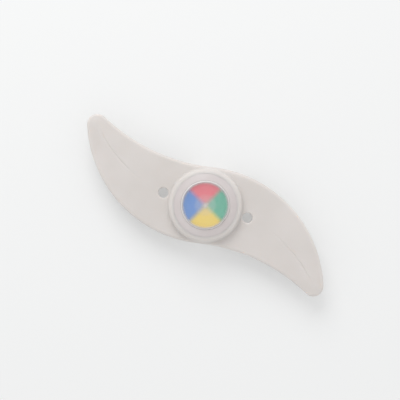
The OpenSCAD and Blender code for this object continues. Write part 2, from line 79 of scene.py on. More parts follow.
def addNode(tree, kind, inputs=None, settings=None):  # a socket given as an input is linked
    node = tree.nodes.new("ShaderNode" + kind)
    for name, value in (settings or {}).items():
        setattr(node, name, value)
    for name, value in (inputs or {}).items():
        if isinstance(value, bpy.types.NodeSocket):
            tree.links.new(value, node.inputs[name])
        else:
            node.inputs[name].default_value = value
    return node


# Camera: straight down on the button, turned so that the tie holes run slightly downhill to the right
shot = {
    "turn": 16.7,  # degrees from the tie holes' line to the picture's level
    "distance": 600,
    "width": 171.7,  # what the picture spans at the wings' level
    "aimRight": -2.27,  # from the button to the picture's middle
    "aimUp": 2.23,
    "sensor": 36,
}


def placeCamera():
    wingLevel = mountAt("tie_hole_right")[2]
    turn = math.radians(shot["turn"])
    right = Vector((math.cos(turn), math.sin(turn), 0))
    up = Vector((-math.sin(turn), math.cos(turn), 0))
    aim = right * shot["aimRight"] + up * shot["aimUp"] + Vector((0, 0, wingLevel))
    data = bpy.data.cameras.new("photoCamera")
    data.sensor_width = shot["sensor"]
    data.lens = shot["sensor"] * shot["distance"] / shot["width"]
    camera = bpy.data.objects.new("photoCamera", data)
    camera.location = (aim + Vector((0, 0, shot["distance"]))) * mm
    camera.rotation_euler = (0, 0, turn)
    scene.collection.objects.link(camera)
    scene.camera = camera
    print("camera placed")
    return right, up


# Studio: pale floor, even sky light and one broad lamp from the picture's top
studio = {
    "white": "#FFFFFF",  # sky, and the plain white in the floor
    "floor": "#F0F1F1",
    "floorWhite": 0.27,  # share of plain white in what is seen of the floor; the rest keeps the shadow
    "floorSize": 6000,
    "floorDrop": 0.05,  # just under the back face
    "skyStrength": 0.75,
    "skySeen": 0.9,  # what the camera and the highlights see
    "lampPower": 2.5,
    "lampSize": 600,
    "lampDistance": 800,
    "lampHeight": 42,  # degrees above the floor
    "lampSide": 104,  # degrees round from the picture's right
}


def seenRays(tree):  # 1 for what the camera sees, straight or in a highlight or through clear plastic
    rays = addNode(tree, "LightPath").outputs
    seen = rays["Is Camera Ray"]
    for more in ("Is Glossy Ray", "Is Transmission Ray"):
        seen = addNode(tree, "Math", {0: seen, 1: rays[more]}, {"operation": "MAXIMUM"}).outputs[0]
    return seen


def lightSky():
    world = bpy.data.worlds.new("studioSky")
    world.use_nodes = True
    tree = world.node_tree
    tree.nodes.clear()
    ends = {"Value": seenRays(tree), "To Min": studio["skyStrength"], "To Max": studio["skySeen"]}
    strength = addNode(tree, "MapRange", ends)
    light = {"Color": linear(studio["white"]), "Strength": strength.outputs[0]}
    sky = addNode(tree, "Background", light)
    addNode(tree, "OutputWorld", {"Surface": sky.outputs[0]})
    scene.world = world


def hangLamp(right, up):
    lamp = bpy.data.lights.new("softLamp", "AREA")
    lamp.shape = "DISK"
    lamp.size = studio["lampSize"] * mm
    lamp.energy = studio["lampPower"]
    height = math.radians(studio["lampHeight"])
    side = math.radians(studio["lampSide"])
    aside = right * math.cos(side) + up * math.sin(side)
    towards = aside * math.cos(height) + Vector((0, 0, math.sin(height)))
    holder = bpy.data.objects.new("softLamp", lamp)
    holder.location = towards * studio["lampDistance"] * mm
    holder.rotation_euler = towards.to_track_quat("Z", "Y").to_euler()
    scene.collection.objects.link(holder)


def layFloor():
    floorMesh = bpy.data.meshes.new("floor")
    half = studio["floorSize"] / 2 * mm
    drop = -studio["floorDrop"] * mm
    corners = [(-half, -half, drop), (half, -half, drop), (half, half, drop), (-half, half, drop)]
    floorMesh.from_pydata(corners, [], [(0, 1, 2, 3)])
    floor = bpy.data.objects.new("floor", floorMesh)
    scene.collection.objects.link(floor)
    material = bpy.data.materials.new("palePaper")
    material.use_nodes = True
    tree = material.node_tree
    tree.nodes.clear()
    paper = addNode(tree, "BsdfDiffuse", {"Color": linear(studio["floor"])})
    white = addNode(tree, "Emission", {"Color": linear(studio["white"]), "Strength": 1.0})
    amount = {0: seenRays(tree), 1: studio["floorWhite"]}
    share = addNode(tree, "Math", amount, {"operation": "MULTIPLY"})
    both = addNode(tree, "MixShader", {0: share.outputs[0], 1: paper.outputs[0], 2: white.outputs[0]})
    addNode(tree, "OutputMaterial", {"Surface": both.outputs[0]})
    floorMesh.materials.append(material)


# Mesh helpers
def finishPiece(name, vertices, faces, material, body, slotName, *nodes, sharp=38):
    mesh = bpy.data.meshes.new(name)
    mesh.from_pydata([tuple(c * mm for c in v) for v in vertices], [], faces)
    work = bmesh.new()
    work.from_mesh(mesh)
    bmesh.ops.remove_doubles(work, verts=work.verts, dist=mergeGap * mm)
    bmesh.ops.recalc_face_normals(work, faces=work.faces)
    work.to_mesh(mesh)
    work.free()
    mesh.polygons.foreach_set("use_smooth", [True] * len(mesh.polygons))
    mesh.set_sharp_from_angle(angle=math.radians(sharp))
    mesh.materials.append(material)
    piece = bpy.data.objects.new(name, mesh)
    scene.collection.objects.link(piece)
    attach(piece, body)
    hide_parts(*nodes)
    return piece


def roundedPath(corners, closed, steps):  # corners are (r, z, rounding); each rounding is an arc
    points = []
    count = len(corners)
    for i, (r, z, rounding) in enumerate(corners):
        here = np.array([r, z], float)
        if rounding == 0 or (not closed and i in (0, count - 1)):
            points.append(here)
            continue
        before = np.array(corners[i - 1][:2], float) - here
        after = np.array(corners[(i + 1) % count][:2], float) - here
        before /= np.linalg.norm(before)
        after /= np.linalg.norm(after)
        half = math.acos(max(-1, min(1, float(before @ after)))) / 2
        middle = before + after
        centre = here + middle / np.linalg.norm(middle) * rounding / math.sin(half)
        start = here + before * rounding / math.tan(half) - centre
        end = here + after * rounding / math.tan(half) - centre
        sweep = math.atan2(start[0] * end[1] - start[1] * end[0], float(start @ end))
        aside = np.array([-start[1], start[0]])
        for k in range(steps + 1):
            a = sweep * k / steps
            points.append(centre + start * math.cos(a) + aside * math.sin(a))
    return points


def revolve(profile, closed, steps=roundSteps):  # rings round Z; a point on the axis becomes one vertex
    vertices, rings = [], []
    for r, z in profile:
        ring = []
        for k in range(1 if r < tiny else steps):
            a = 2 * math.pi * k / steps
            ring.append(len(vertices))
            vertices.append((r * math.cos(a), r * math.sin(a), z))
        rings.append(ring)
    faces = []
    for a, b in zip(rings, rings[1:] + (rings[:1] if closed else [])):
        faces += bridge(a, b, steps)
    return vertices, faces


def bridge(a, b, steps):  # faces between two rings, of which one may be a single point
    faces = []
    for k in range(steps):
        n = (k + 1) % steps
        if len(a) == 1 and len(b) == 1:
            continue
        if len(a) == 1:
            faces.append((a[0], b[k], b[n]))
        elif len(b) == 1:
            faces.append((a[k], b[0], a[n]))
        else:
            faces.append((a[k], b[k], b[n], a[n]))
    return faces


def ballRadius(edge, rise):  # radius of the ball that a dome of that edge and rise is cut from
    return (edge ** 2 + rise ** 2) / (2 * rise)


def ballZ(top, ball, r, inside=0.0):  # height of a dome at r, or of its lower face inside it
    return top - ball + math.sqrt((ball - inside) ** 2 - r * r)


# Materials: a look holds the shader's settings, two tones, two roughnesses and the relief's heights.
# Its patterns, drift for the tones, sheen for the roughness, skin and grain for the relief, are given
# as the size of their patches and their detail.
cloudReach = (0.3, 0.7)  # values that a cloudy pattern seldom leaves


def startMaterial(name):
    material = bpy.data.materials.new(name)
    material.use_nodes = True
    tree = material.node_tree
    tree.nodes.clear()
    return material, tree, addNode(tree, "TexCoord").outputs["Object"]


def surfaceSockets(tree, place, look, patterns):  # a pattern that is not given is a cloudy one
    for use in ("drift", "sheen", "skin", "grain"):
        if use in look and use not in patterns:
            size, detail = look[use]
            cloud = {"Vector": place, "Scale": 1 / (size * mm), "Detail": detail}
            patterns[use] = addNode(tree, "TexNoise", cloud).outputs["Fac"]
    sockets = {}
    if "tones" in look:
        low, high = look.get("reach", cloudReach)
        drift = {"Value": patterns["drift"], "From Min": low, "From Max": high}
        share = addNode(tree, "MapRange", drift)
        first, second = [linear(tone) for tone in look["tones"]]
        tones = {0: share.outputs[0], 6: first, 7: second}  # Mix takes its colours at 6 and 7
        sockets["Base Color"] = addNode(tree, "Mix", tones, {"data_type": "RGBA"}).outputs[2]
    low, high = cloudReach
    gloss = {"Value": patterns["sheen"], "From Min": low, "From Max": high}
    gloss["To Min"], gloss["To Max"] = look["rough"]
    sockets["Roughness"] = addNode(tree, "MapRange", gloss).outputs[0]
    for use, height in look["heights"].items():
        bump = {"Height": patterns[use], "Distance": height * mm, "Strength": 1.0}
        if "Normal" in sockets:
            bump["Normal"] = sockets["Normal"]
        sockets["Normal"] = addNode(tree, "Bump", bump).outputs[0]
    return sockets


def endMaterial(material, tree, look, sockets):
    shader = addNode(tree, "BsdfPrincipled", {**look["shader"], **sockets})
    addNode(tree, "OutputMaterial", {"Surface": shader.outputs["BSDF"]})
    return material


def mouldedMaterial(name, look):
    material, tree, place = startMaterial(name)
    return endMaterial(material, tree, look, surfaceSockets(tree, place, look, {}))


milkyElastomer = {  # injection-moulded soft TPE, unpigmented: milky, light sinks in, satin skin
    "shader": {
        "IOR": 1.45,
        "Subsurface Weight": 0.8,
        "Subsurface Radius": (1.0, 0.95, 0.9),
        "Subsurface Scale": 1.6 * mm,
    },
    "tones": ("#D8D3CF", "#DED9D6"),
    "drift": (20, 2),  # slow drift of the melt
    "rough": (0.4, 0.5),
    "sheen": (5, 2),
    "skin": (2.2, 2),  # waviness of the soft skin
    "grain": (0.45, 2),  # eroded mould, drawn coarser to show
    "heights": {"skin": 0.02, "grain": 0.006},
}
frostedCap = {  # moulded polypropylene, frosted by the mould: whiter and tighter than the soft body
    "shader": {
        "IOR": 1.49,
        "Subsurface Weight": 0.4,
        "Subsurface Radius": (1.0, 0.96, 0.94),
        "Subsurface Scale": 1.0 * mm,
    },
    "tones": ("#D0C8C7", "#D6CFCE"),
    "drift": (9, 3),
    "rough": (0.3, 0.4),
    "sheen": (3, 2),
    "grain": (0.4, 2),  # frosting, drawn coarser to show
    "heights": {"grain": 0.005},
}
whiteAbs = {  # moulded ABS with a fine eroded texture: even, slightly warm white, soft highlights
    "shader": {"IOR": 1.54, "Subsurface Weight": 0.1, "Subsurface Scale": 0.6 * mm},
    "tones": ("#E2DFD9", "#EAE7E2"),
    "drift": (7, 3),
    "rough": (0.4, 0.52),
    "sheen": (1.2, 2),
    "grain": (0.35, 2),  # eroded mould, drawn coarser to show
    "heights": {"grain": 0.008},
}
sealRubber = {  # moulded nitrile rubber: black, dull, with a bloom of talc
    "shader": {"IOR": 1.52},
    "tones": ("#141414", "#2A2A29"),
    "drift": (2.5, 4),
    "rough": (0.5, 0.7),
    "sheen": (0.8, 2),
    "grain": (0.3, 2),  # ground mould, drawn coarser to show
    "heights": {"grain": 0.006},
}
switchNylon = {  # moulded black nylon, matt
    "shader": {"IOR": 1.53},
    "tones": ("#17171A", "#242427"),
    "drift": (1.5, 3),
    "rough": (0.4, 0.55),
    "sheen": (0.6, 2),
    "grain": (0.25, 2),  # eroded mould, drawn coarser to show
    "heights": {"grain": 0.006},
}
tintedLens = {  # cast epoxy dome, tinted through: deep colour, wet shine
    "shader": {"IOR": 1.54, "Subsurface Weight": 0.5, "Subsurface Scale": 1.0 * mm, "Coat Weight": 0.4},
    "drift": (1.6, 2),
    "rough": (0.08, 0.16),
    "sheen": (1.0, 2),
    "grain": (0.7, 2),  # ripple of the casting
    "heights": {"grain": 0.004},
}
frostedButton = {  # thin frosted face: a white veil, thicker in the middle, with a solid white rim; the whiter middle and the faint ring near 4.5 mm are partly the thicker dome and partly a painted soft highlight
    "shader": {"IOR": 1.49},
    "tones": ("#E6E2E1", "#EFECEB"),
    "drift": (6, 3),
    "rough": (0.26, 0.36),
    "sheen": (2.5, 2),
    "grain": (0.4, 2),  # frosting, drawn coarser to show
    "heights": {"grain": 0.004},
    "veilReach": 10.4,
    # alpha at each radius; the higher alpha inside 5 mm is partly a painted soft highlight
    "veilAndHighlight": (
        (0, 0.42), (1.6, 0.25), (2.2, 0.23), (4.0, 0.19), (5.0, 0.13),
        (8.7, 0.13), (9.3, 0.24), (9.7, 0.42), (10.2, 0.95),
    ),
}


def veiledMaterial(name, look):
    material, tree, place = startMaterial(name)
    flat = addNode(tree, "VectorMath", {0: place, 1: (1, 1, 0)}, {"operation": "MULTIPLY"})
    fromAxis = addNode(tree, "VectorMath", {0: flat.outputs[0]}, {"operation": "LENGTH"})
    distance = {0: fromAxis.outputs["Value"], 1: look["veilReach"] * mm}
    share = addNode(tree, "Math", distance, {"operation": "DIVIDE"})
    # the ramp whitens the middle of the disc: partly the thicker face, partly a painted soft highlight
    # on the dome
    veilAndHighlight = addNode(tree, "ValToRGB", {0: share.outputs[0]})
    stops = veilAndHighlight.color_ramp.elements
    for i, (r, alpha) in enumerate(look["veilAndHighlight"]):
        stop = stops[i] if i < 2 else stops.new(1.0)  # a ramp starts with two stops
        stop.position = r / look["veilReach"]
        stop.color = (alpha, alpha, alpha, 1)
    sockets = surfaceSockets(tree, place, look, {})
    sockets["Alpha"] = veilAndHighlight.outputs["Color"]
    return endMaterial(material, tree, look, sockets)


printedFilm = {  # four inked quarters on white film, softened by the frosted face above it
    "shader": {"IOR": 1.5},
    "rough": (0.45, 0.6),
    "sheen": (1.5, 2),
    "grain": (0.5, 2),  # ink grain, drawn coarser to show
    "heights": {"grain": 0.004},
    "red": "#EB5068",
    "blue": "#0581D5",
    "yellow": "#F6D840",
    "green": "#00B08F",
    "firstEdge": 62,  # degrees from the tie holes' line to the red quarter
    "blur": 1.5,  # half width of the soft edge between two quarters
}


def quarteredMaterial(name, look):
    material, tree, place = startMaterial(name)
    back = math.radians(-look["firstEdge"])
    turned = addNode(tree, "VectorRotate", {"Vector": place, "Angle": back}, {"rotation_type": "Z_AXIS"})
    axes = addNode(tree, "SeparateXYZ", {0: turned.outputs[0]}).outputs
    blur = look["blur"] * mm
    shares = []
    for axis in (axes[0], axes[1]):
        soft = {"Value": axis, "From Min": -blur, "From Max": blur}
        shares.append(addNode(tree, "MapRange", soft, {"interpolation_type": "SMOOTHSTEP"}).outputs[0])
    halves = []
    for low, high in (("yellow", "green"), ("blue", "red")):
        pair = {0: shares[0], 6: linear(look[low]), 7: linear(look[high])}
        halves.append(addNode(tree, "Mix", pair, {"data_type": "RGBA"}).outputs[2])
    whole = addNode(tree, "Mix", {0: shares[1], 6: halves[0], 7: halves[1]}, {"data_type": "RGBA"})
    sockets = surfaceSockets(tree, place, look, {})
    sockets["Base Color"] = whole.outputs[2]
    return endMaterial(material, tree, look, sockets)


drawnMetal = {  # rolled sheet or drawn wire: bright, with fine lines
    "shader": {"Metallic": 1.0},
    "drift": (3, 3),
    "lineDetail": 3,
    "heights": {"grain": 0.004},
}
metals = {  # width of the lines, drawn coarser to show, and how they stretch along each axis
    "tinnedWire": {  # copper dipped in tin: soft grey shine
        "tones": ("#B9B9BB", "#CDCDCF"), "rough": (0.3, 0.42), "lines": 0.4, "stretch": (1, 1, 1),
    },
    "nickelSteel": {  # nickel plated: clear shine
        "tones": ("#BDBDBF", "#CFCFD0"), "rough": (0.2, 0.34), "lines": 0.5, "stretch": (1, 1, 0.2),
    },
    "springBronze": {  # phosphor bronze: pale gold
        "tones": ("#C2B592", "#D3C7A8"), "rough": (0.26, 0.38), "lines": 0.3, "stretch": (0.15, 1, 1),
    },
    "zincSteel": {  # zinc plated: bluish grey
        "tones": ("#A9ABB0", "#BFC1C4"), "rough": (0.28, 0.42), "lines": 0.4, "stretch": (1, 1, 1),
    },
}


def metalMaterial(name):
    look = {**drawnMetal, **metals[name]}
    material, tree, place = startMaterial(name)
    drawn = addNode(tree, "Mapping", {"Vector": place, "Scale": look["stretch"]})
    cloud = {"Vector": drawn.outputs[0], "Scale": 1 / (look["lines"] * mm), "Detail": look["lineDetail"]}
    lines = addNode(tree, "TexNoise", cloud).outputs["Fac"]
    sockets = surfaceSockets(tree, place, look, {"sheen": lines, "grain": lines})
    return endMaterial(material, tree, look, sockets)


boardLaminate = {  # glass laminate under green mask: brighter where copper lies below the mask
    "shader": {"IOR": 1.5},
    "tones": ("#0F5A33", "#1E7D49"),
    "reach": (0.08, 0.14),
    "tracks": 2.4,  # size of the copper fields
    "rough": (0.25, 0.4),
    "sheen": (1.0, 2),
    "heights": {"grain": 0.02},
}


def boardMaterial(name, look):
    material, tree, place = startMaterial(name)
    fields = {"Vector": place, "Scale": 1 / (look["tracks"] * mm)}
    tracks = addNode(tree, "TexVoronoi", fields, {"feature": "DISTANCE_TO_EDGE"}).outputs["Distance"]
    sockets = surfaceSockets(tree, place, look, {"drift": tracks, "grain": tracks})
    return endMaterial(material, tree, look, sockets)


tinnedChip = {  # dull moulded body with bright tinned ends
    "shader": {"IOR": 1.52},
    "drift": (0.9, 3),
    "rough": (0.35, 0.55),
    "sheen": (0.5, 2),
    "grain": (0.25, 2),  # filler in the resin, drawn coarser to show
    "heights": {"grain": 0.008},
    "tin": "#C9C9CB",
}
chips = {  # middle of the body along X, and half its length
    "blackEpoxy": {"tones": ("#151516", "#232325"), "middle": -6.9, "half": 2.0},
    "resistorEpoxy": {"tones": ("#151516", "#232325"), "middle": 5.6, "half": 0.65},
    "tanCeramic": {"tones": ("#9C7A52", "#B08D63"), "middle": 0, "half": 1.1},
}


def chipMaterial(name):
    look = {**tinnedChip, **chips[name]}
    material, tree, place = startMaterial(name)
    along = addNode(tree, "SeparateXYZ", {0: place}).outputs[0]
    off = addNode(tree, "Math", {0: along, 1: look["middle"] * mm}, {"operation": "SUBTRACT"})
    away = addNode(tree, "Math", {0: off.outputs[0]}, {"operation": "ABSOLUTE"})
    ends = {0: away.outputs[0], 1: look["half"] * mm}
    tinned = addNode(tree, "Math", ends, {"operation": "GREATER_THAN"}).outputs[0]
    sockets = surfaceSockets(tree, place, look, {})
    shades = {0: tinned, 6: sockets["Base Color"], 7: linear(look["tin"])}
    sockets["Base Color"] = addNode(tree, "Mix", shades, {"data_type": "RGBA"}).outputs[2]
    sockets["Metallic"] = tinned
    return endMaterial(material, tree, look, sockets)


# Crown: the shallow dome that the front cap and the soft rim share
crown = {"r": 50, "top": 16.995, "from": 10.4}  # its top is the edge round the button


def crownZ(r):  # height of the dome at a radius
    drop = math.sqrt(crown["r"] ** 2 - crown["from"] ** 2) - math.sqrt(crown["r"] ** 2 - r * r)
    return crown["top"] - drop


# Soft body: one moulding of plate and socket, made as two height fields over one plan, joined by walls
wing = {
    "outerR": 53.6,  # long convex edge
    "hollowR": 79.0,  # hollow edge
    "halfWidth": 16.6,  # across the hub
    "lean": 12.3,  # degrees from straight down to the middle of the convex edge
    "turn": 10.5,  # degrees from straight up to where it meets the other wing's hollow edge
    "tipR": 4.4,
    "rootT": 3.4,
    "tipT": 2.4,
    "edge": 1.3,  # width of the rounded edge
    "land": 0.6,  # flat of the edge
    "crease": 0.4,  # its rise where the tip begins
    "creaseRun": 1.0,  # least width over which the crease rises
    "fold": 0.22,  # depth of the fold line in the crease, over the outer half of the wing
    "foldHalf": 0.6,  # half its width
    "foldSpan": (0.5, 0.7, 0.9, 1.0),  # shares of the wing between which it deepens and fades
    "flash": 0.05,  # parting line, all round the edge
    "flashHalf": 0.1,  # half its height
    "rootFillet": 0.9,
    "tieX": mountAt("tie_hole_right")[0],
    "tieR": 2.15,
    "tieRound": 0.45,
    "level": mountAt("tie_hole_right")[2],  # middle of the plate
}
wingMesh = {
    "step": 0.9,  # points along the outline
    "tipStep": 5,  # degrees between them round the tip, at most
    "grid": 1.4,  # points inside
    "gridRow": 0.87,  # rows of the grid, as a share of it
    "gridGap": 0.6,  # what it keeps from other points, as a share of it
    "tieSteps": 48,
    # distances of the rows of points from the tie holes, hub, edge and fold,
    # and the gaps that they keep to other points
    "tieRows": (0.04, 0.13, 0.28, 0.45, 0.8),
    "tieGap": 0.03,
    "rootRows": (0.06, 0.18, 0.36, 0.6, 0.9, 1.3),
    "rootGap": 0.05,
    "edgeRows": (0.05, 0.16, 0.34, 0.58, 0.85, 1.1, 1.3, 1.75),
    "edgeGap": 0.04,
    "foldRows": (0, 0.15, 0.3, 0.45, 0.6, 1.0),
    "foldGap": 0.12,
    "wallGap": 0.03,  # least distance of any point from the edge and the hub
    "tieWallGap": 0.02,
}
socket = {
    "hubR": cadReach("rear_case")[1][0],
    "r": 12.9,
    "low": 3.4,
    "lowRound": 0.22,
    "rimRound": 1.7,  # soft rim that shows round the front cap
    "rimRows": 4,
    "mouthR": 13.49,  # stretched round the front cap
    "mouthRound": 0.03,
    "mouthFlat": 0.2,
    "seatZ": 13.995,
    "seatRound": 0.1,
    "grooveZ": (12.995, 4.4),
    "groove": 0.35,  # half height
    "grooveDeep": 0.3,
    "grooveRound": 0.2,
    "grooveEdge": 0.05,
    "arcSteps": 8,
}
lampRoom = {  # pockets for the lamps
    "angles": (28, -28, 152, 208),  # degrees round the hub
    "r": 1.7,
    "from": 12.2,
    "to": 15.0,
    "sides": 40,
}


def polar(r, degrees):
    a = np.radians(degrees)
    return np.stack([r * np.cos(a), r * np.sin(a)], -1)


def planWings():  # arcs as (centre, radius, first angle, last angle), those of the right wing first
    turn = 90 + wing["turn"]
    outer = polar(wing["outerR"] - wing["halfWidth"], wing["lean"] - 90)
    hollow = -outer - polar(wing["outerR"] + wing["hollowR"], turn)
    span = hollow - outer
    reach = np.linalg.norm(span)
    toOuter = wing["outerR"] - wing["tipR"]
    toHollow = wing["hollowR"] + wing["tipR"]
    along = (toOuter ** 2 - toHollow ** 2 + reach ** 2) / (2 * reach)
    aside = math.sqrt(toOuter ** 2 - along ** 2)
    tip = outer + (along * span + aside * np.array([-span[1], span[0]])) / reach
    outerEnd = math.degrees(math.atan2(*(tip - outer)[::-1]))
    hollowEnd = math.degrees(math.atan2(*(tip - hollow)[::-1]))
    right = [
        (outer, wing["outerR"], turn, outerEnd),
        (tip, wing["tipR"], outerEnd, hollowEnd - 180),
        (hollow, wing["hollowR"], hollowEnd, turn),
    ]
    return right + [(-c, r, a + 180, b + 180) for c, r, a, b in right]


def outlinePoints(arcs):  # points along the outline and the unit vectors that point into the plate
    points, inward = [], []
    for k, (centre, r, first, last) in enumerate(arcs):
        step = min(wingMesh["step"], math.radians(wingMesh["tipStep"]) * r)
        count = max(2, round(math.radians(abs(last - first)) * r / step))
        angles = np.linspace(first, last, count, endpoint=False)
        side = 1 if k % 3 == 2 else -1  # the hollow edge has its centre outside
        points.append(centre + polar(r, angles))
        inward.append(side * polar(1, angles))
    return np.concatenate(points), np.concatenate(inward)


def edgeDistance(points, arcs):  # distance to the nearest edge
    best = np.full(len(points), np.inf)
    for centre, r, first, last in arcs:
        v = points - centre
        angle = np.degrees(np.arctan2(v[:, 1], v[:, 0]))
        low, high = min(first, last), max(first, last)
        within = (angle - low) % 360 <= high - low
        toArc = np.abs(np.linalg.norm(v, axis=1) - r)
        toEnds = [np.linalg.norm(points - (centre + polar(r, a)), axis=1) for a in (first, last)]
        best = np.minimum(best, np.where(within, toArc, np.minimum(*toEnds)))
    return best


def stations(points, arcs):  # 0 at the hub and 1 where the tip begins, then the distances to both edges
    (outer, outerR, turn, outerEnd), _, (hollow, hollowR, hollowEnd, _) = arcs[:3]

    def onRight(p):
        toOuter = p - outer
        toHollow = p - hollow
        inOuter = np.maximum(outerR - np.linalg.norm(toOuter, axis=1), tiny)
        inHollow = np.maximum(np.linalg.norm(toHollow, axis=1) - hollowR, tiny)
        byOuter = (turn - np.degrees(np.arctan2(toOuter[:, 1], toOuter[:, 0]))) / (turn - outerEnd)
        byHollow = (turn - np.degrees(np.arctan2(toHollow[:, 1], toHollow[:, 0]))) / (turn - hollowEnd)
        return (inHollow * byOuter + inOuter * byHollow) / (inOuter + inHollow), inOuter, inHollow

    left = points[:, 0] < 0
    share, inOuter, inHollow = [np.where(left, b, a) for a, b in zip(onRight(points), onRight(-points))]
    return np.clip(share, 0, 1), inOuter, inHollow


def plateHalf(points, arcs, hubR):  # half height of the plate, with its edge, crease and roundings
    share, inOuter, inHollow = stations(points, arcs)
    inside = np.maximum(edgeDistance(points, arcs) - wing["flash"], 0)
    edge = wing["edge"]
    bulge = np.sqrt(1 - (1 - np.minimum(inside / edge, 1)) ** 2)
    thick = wing["rootT"] + (wing["tipT"] - wing["rootT"]) * share
    half = (wing["land"] + (thick - wing["land"]) * bulge) / 2
    run = np.maximum((inOuter + inHollow) / 2 - edge, wing["creaseRun"])
    half += wing["crease"] * share * np.clip((inside - edge) / run, 0, 1)
    offCrease = np.minimum(np.abs(inOuter - inHollow) / 2 / wing["foldHalf"], 1)
    along = np.interp(share, wing["foldSpan"], (0, 1, 1, 0))
    half -= wing["fold"] * np.cos(offCrease * math.pi / 2) ** 2 * along
    half += corner(np.linalg.norm(points, axis=1) - hubR, wing["rootFillet"])
    for side in (-1, 1):
        away = np.linalg.norm(points - [side * wing["tieX"], 0], axis=1) - wing["tieR"]
        half -= corner(away, wing["tieRound"])
    return half


def corner(away, r):  # height of a quarter-round of radius r at a distance from its wall
    short = np.clip(r - away, 0, r)
    return r - np.sqrt(r * r - short * short)


def circle(centre, r, count):
    return np.array(centre) + polar(r, np.linspace(0, 360, count, endpoint=False))


def sparse(points, taken, gap):  # the points that keep a gap to those already taken
    keep = [np.min(np.sum((taken - p) ** 2, axis=1)) > gap * gap for p in points]
    return points[keep]


def creasePoints(arcs):  # rows of points along the line midway between the two edges, on both wings
    (outer, outerR, turn, outerEnd), _, (hollow, hollowR, _, _) = arcs[:3]
    count = round(math.radians(turn - outerEnd) * outerR / wingMesh["step"])
    ways = polar(1, np.linspace(turn, outerEnd, count))
    apart = outer - hollow
    lean = ways @ apart
    middle = apart @ apart + 2 * outerR * lean + outerR ** 2 - hollowR ** 2
    middle = middle / (2 * (lean + outerR + hollowR))
    rows = []
    for row in sorted({row * side for row in wingMesh["foldRows"] for side in (-1, 1)}):
        right = outer + (outerR - middle - row)[:, None] * ways
        rows.append(np.concatenate([right, -right]))
    return rows


def planPoints(arcs, hubR):  # the loops round the plate, hub and tie holes, then all points of the plan
    rim, inward = outlinePoints(arcs)
    ties = [(-wing["tieX"], 0), (wing["tieX"], 0)]
    tieR, tieSteps = wing["tieR"], wingMesh["tieSteps"]
    loops = [rim + wing["flash"] * inward, circle((0, 0), hubR, roundSteps)]
    loops += [circle(tie, tieR, tieSteps) for tie in ties]
    taken = np.concatenate(loops)
    edgeRows = [rim + (wing["flash"] + row) * inward for row in wingMesh["edgeRows"]]
    rootRows = [circle((0, 0), hubR + row, roundSteps) for row in wingMesh["rootRows"]]
    tieRows = [circle(tie, tieR + row, tieSteps) for tie in ties for row in wingMesh["tieRows"]]
    reach = np.max(np.abs(rim), axis=0)
    step = wingMesh["grid"]
    across = np.arange(-reach[0], reach[0], step)
    upward = np.arange(-reach[1], reach[1], step * wingMesh["gridRow"])
    grid = np.array([(x + step / 2 * (j % 2), y) for j, y in enumerate(upward) for x in across])
    batches = [
        (tieRows, wingMesh["tieGap"]),
        (rootRows, wingMesh["rootGap"]),
        (edgeRows, wingMesh["edgeGap"]),
        (creasePoints(arcs), wingMesh["foldGap"]),
        ([grid], step * wingMesh["gridGap"]),
    ]
    for rows, gap in batches:
        for row in rows:
            row = row[insidePlan(row, arcs, hubR)]
            taken = np.concatenate([taken, sparse(row, taken, gap)])
    return loops, taken


def insidePlan(points, arcs, hubR):
    outer, tip, hollow = arcs[:3]
    axis = tip[0] - hollow[0]
    found = np.zeros(len(points), bool)
    for p in (points, -points):
        fromHollow = p - hollow[0]
        inOuter = np.linalg.norm(p - outer[0], axis=1) < outer[1]
        outHollow = np.linalg.norm(fromHollow, axis=1) > hollow[1]
        beyond = axis[0] * fromHollow[:, 1] - axis[1] * fromHollow[:, 0] < 0
        inTip = np.linalg.norm(p - tip[0], axis=1) < tip[1]
        found |= inOuter & outHollow & (p[:, 0] >= 0) & (~beyond | inTip)
    found &= edgeDistance(points, arcs) > wing["flash"] + wingMesh["wallGap"]
    found &= np.linalg.norm(points, axis=1) > hubR + wingMesh["wallGap"]
    for side in (-1, 1):
        fromTie = np.linalg.norm(points - [side * wing["tieX"], 0], axis=1)
        found &= fromTie > wing["tieR"] + wingMesh["tieWallGap"]
    return found


def openPlan(flat, triangles, hubR):  # drops the triangles that fill the hub and the tie holes
    kept = []
    for ids in triangles:
        x, y = flat[list(ids)].mean(axis=0)
        inHub = math.hypot(x, y) < hubR
        inTie = math.hypot(abs(x) - wing["tieX"], y) < wing["tieR"]
        if not inHub and not inTie:
            kept.append(tuple(ids))
    return kept


def socketPath(hubR):  # the wall of the socket, from the plate over the rim, down the bore and back
    r = socket["r"]
    mouthR = socket["mouthR"]
    path = [(hubR, wing["level"], 0), (hubR, crownZ(hubR), socket["rimRound"])]
    rows = np.linspace(hubR - socket["rimRound"], mouthR + socket["mouthFlat"], socket["rimRows"])
    path += [(row, crownZ(row), 0) for row in rows]
    path += [
        (mouthR, crownZ(mouthR), socket["mouthRound"]),
        (mouthR, socket["seatZ"], socket["seatRound"]),
        (r, socket["seatZ"], socket["seatRound"]),
    ]
    for z in socket["grooveZ"]:
        path += [
            (r, z + socket["groove"], socket["grooveEdge"]),
            (r + socket["grooveDeep"], z, socket["grooveRound"]),
            (r, z - socket["groove"], socket["grooveEdge"]),
        ]
    path += [(r, socket["low"], socket["lowRound"]), (hubR, socket["low"], socket["lowRound"])]
    path.append((hubR, wing["level"], 0))
    return roundedPath(path, False, socket["arcSteps"])[1:-1]


